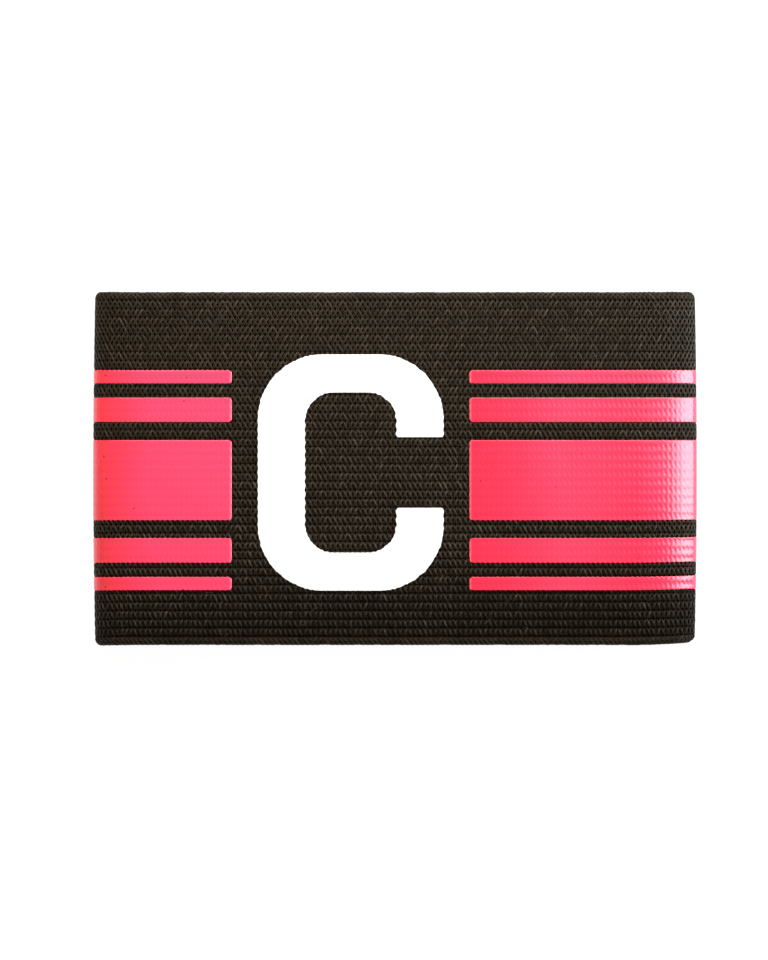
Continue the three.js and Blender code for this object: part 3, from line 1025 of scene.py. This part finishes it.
def thread_material():
    material, tree, shader = new_material("seam_thread")
    fibres = noise(tree, 3000)
    set_inputs(tree, shader, {
        "Base Color": ramp(tree, fibres, [(0.3, (0.012, 0.0095, 0.007)), (0.7, (0.028, 0.023, 0.017))]),
        "Roughness": mapped(tree, fibres, 0.45, 0.65),
        "Normal": bumped(tree, fibres, 0.4, 0.00005),
    })
    return material


def fibre_material():
    material, tree, shader = new_material("loose_fibre")
    tones = noise(tree, 900)
    set_inputs(tree, shader, {
        "Base Color": ramp(tree, tones, [(0.35, (0.05, 0.045, 0.04)), (0.65, (0.2, 0.19, 0.175))]),
        "Roughness": 0.6,
    })
    return material


# The object

def build_knit():
    """The body, which stands for the loop, and the pieces that go with it."""
    body = dress(make_body(), body_material())
    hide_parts("elastic_loop")
    yarn = yarn_material()
    pieces = []
    for layer, groups in (("face", 4), ("back", 2)):
        for number, ribs in enumerate(np.array_split(np.arange(1, RIB_COUNT - 1), groups), 1):
            pieces.append(dress(rib_yarns(f"{layer}_yarns_{number}", ribs, layer), yarn))
    for name, sign in (("upper_edge_yarns", 1), ("lower_edge_yarns", -1)):
        pieces.append(dress(edge_yarns(name, sign), yarn))
    thread = thread_material()
    threads = (
        ("seam_zigzag", SEAM_STITCH["outside"], 0),
        ("seam_zigzag_inside", WALL - SEAM_STITCH["inside"], 1),
    )
    for name, depth, phase in threads:
        pieces.append(dress(seam_thread(name, depth, phase), thread))
    pieces.append(dress(loose_fibres("loose_fibres"), fibre_material()))
    return body, pieces


def build_films():
    pink = film_material(
        "pink_film",
        # From the left fold to the right one: lighter as painted sheen where the film caught light,
        # deeper and redder as painted shade at the left fold and beside the letter
        [
            (0.0, (0.88, 0.03, 0.058)),
            (0.04, (0.9, 0.035, 0.084)),
            (0.1, (0.9, 0.049, 0.126)),
            (0.3, (0.9, 0.05, 0.131)),
            (0.63, (0.87, 0.0205, 0.057)),
            (0.71, (0.88, 0.027, 0.072)),
            (0.78, (0.9, 0.04, 0.095)),
            (0.84, (0.9, 0.033, 0.082)),
            (0.9, (0.9, 0.023, 0.066)),
            (1.0, (0.9, 0.03, 0.084)),
        ],
        # the skirt's painted shade, and the colour of the dark specks
        skirt_shade_and_speck_colour=(0.16, 0.003, 0.008),
        painted_end_highlight_colour=(0.95, 0.3, 0.38),
        roughness=(0.17, 0.24),
        gloss=0.9,
        spot_chance=0.22,
    )
    white = film_material(
        "white_film",
        [(0.2, (0.94, 0.94, 0.935)), (0.8, (0.97, 0.97, 0.965))],
        # the skirt's painted shade, and the colour of the dark specks
        skirt_shade_and_speck_colour=(0.5, 0.48, 0.45),
        painted_end_highlight_colour=(0.95, 0.95, 0.95),
        roughness=(0.4, 0.55),
        gloss=0.5,
        spot_chance=0.04,
    )
    films = []
    for place in STRIPES:
        film = dress(stripe_film(place), pink)
        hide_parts(place["node"])
        films.append(film)
    letter = dress(letter_film(), white)
    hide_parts("letter_c")
    films.append(letter)
    return films


# The stage

def build_floor():
    """A white floor that glows a little, as a light table does."""
    size = 6.0
    mesh = bpy.data.meshes.new("floor")
    corners = [(-size, -size, 0), (size, -size, 0), (size, size, 0), (-size, size, 0)]
    mesh.from_pydata(corners, [], [(0, 1, 2, 3)])
    floor = bpy.data.objects.new("floor", mesh)
    bpy.context.scene.collection.objects.link(floor)
    material, tree, shader = new_material("floor")
    set_inputs(tree, shader, {
        "Base Color": ramp(tree, noise(tree, 400), [(0.3, (0.1, 0.1, 0.1)), (0.7, (0.12, 0.12, 0.12))]),
        "Roughness": 0.8,
        "Emission Color": (1.0, 1.0, 1.0, 1.0),
        "Emission Strength": 0.96,
    })
    mesh.materials.append(material)


# The lights, in metres and watts. size is across the light's aim, level and then upright
LIGHTS = {
    "key": {
        "place": (0, 0.13, 0.13),
        "aim": (0, 0.01, 0),
        "size": (0.26, 0.1),
        "power": 0.6,
        "colour": (1.0, 0.965, 0.89),
    },
    "side": {
        "place": (0.24, 0.055, 0.085),
        "aim": (0.055, 0.02, 0.007),
        "size": (0.18, 0.17),
        "power": 0.78,
        "colour": (0.93, 0.95, 1.0),
    },
    "high": {
        "place": (0.184, 0.057, 0.186),
        "aim": (0.055, 0.02, 0.008),
        "size": (0.2, 0.08),
        "power": 0.265,
        "colour": (0.9, 0.9, 1.0),
    },
    "top": {
        "place": (0.1, 0.06, 0.215),
        "aim": (0.045, 0.01, 0.009),
        "size": (0.12, 0.07),
        "power": 0.025,
        "colour": (0.95, 0.95, 1.0),
    },
}


def build_lights():
    for name, given in LIGHTS.items():
        light = bpy.data.lights.new(name, "AREA")
        light.shape = "RECTANGLE"
        light.size, light.size_y = given["size"]
        light.energy = given["power"]
        light.color = given["colour"]
        lamp = bpy.data.objects.new(name, light)
        lamp.location = given["place"]
        towards = Vector(given["aim"]) - Vector(given["place"])
        lamp.rotation_euler = towards.to_track_quat("-Z", "Y").to_euler()
        bpy.context.scene.collection.objects.link(lamp)


def build_world():
    """Soft light from all round, dimmer and warmer from the left. The camera sees plain white."""
    world = bpy.data.worlds.new("studio")
    world.use_nodes = True
    tree = world.node_tree
    tree.nodes.clear()
    direction = node(tree, "ShaderNodeTexCoord", {}).outputs["Generated"]
    from_left = node(tree, "ShaderNodeSeparateXYZ", {"Vector": direction}).outputs["X"]
    position = node(tree, "ShaderNodeMapRange", {"Value": from_left, "From Min": -1.0}).outputs["Result"]
    light = ramp(tree, position, [(0.1, (0.62, 0.36, 0.26)), (0.55, (0.15, 0.15, 0.15))])
    seen = node(tree, "ShaderNodeLightPath", {}).outputs["Is Camera Ray"]
    background = node(tree, "ShaderNodeBackground", {"Color": mixed(tree, seen, light, (1.0, 1.0, 1.0))})
    output = node(tree, "ShaderNodeOutputWorld", {})
    tree.links.new(background.outputs["Background"], output.inputs["Surface"])
    bpy.context.scene.world = world


# The camera looks straight down. VIEW_CENTRE is the point of the band at the picture's middle.
LENS = 105.0
SENSOR = 36.0
VIEW_HEIGHT = 189.9  # of the plane of the band's face, over the picture's long side
VIEW_CENTRE = (-2.2, -2.27)


def build_camera():
    camera = bpy.data.cameras.new("camera")
    camera.lens = LENS
    camera.sensor_width = SENSOR
    camera.clip_start = 0.01
    eye = bpy.data.objects.new("camera", camera)
    distance = VIEW_HEIGHT * LENS / SENSOR
    eye.location = Vector((*VIEW_CENTRE, LOOP_HEIGHT + distance)) * MM
    bpy.context.scene.collection.objects.link(eye)
    bpy.context.scene.camera = eye
    bpy.context.scene.view_settings.view_transform = "Standard"


build_camera()
build_lights()
build_world()
build_floor()
elastic, on_elastic = build_knit()
on_elastic += build_films()
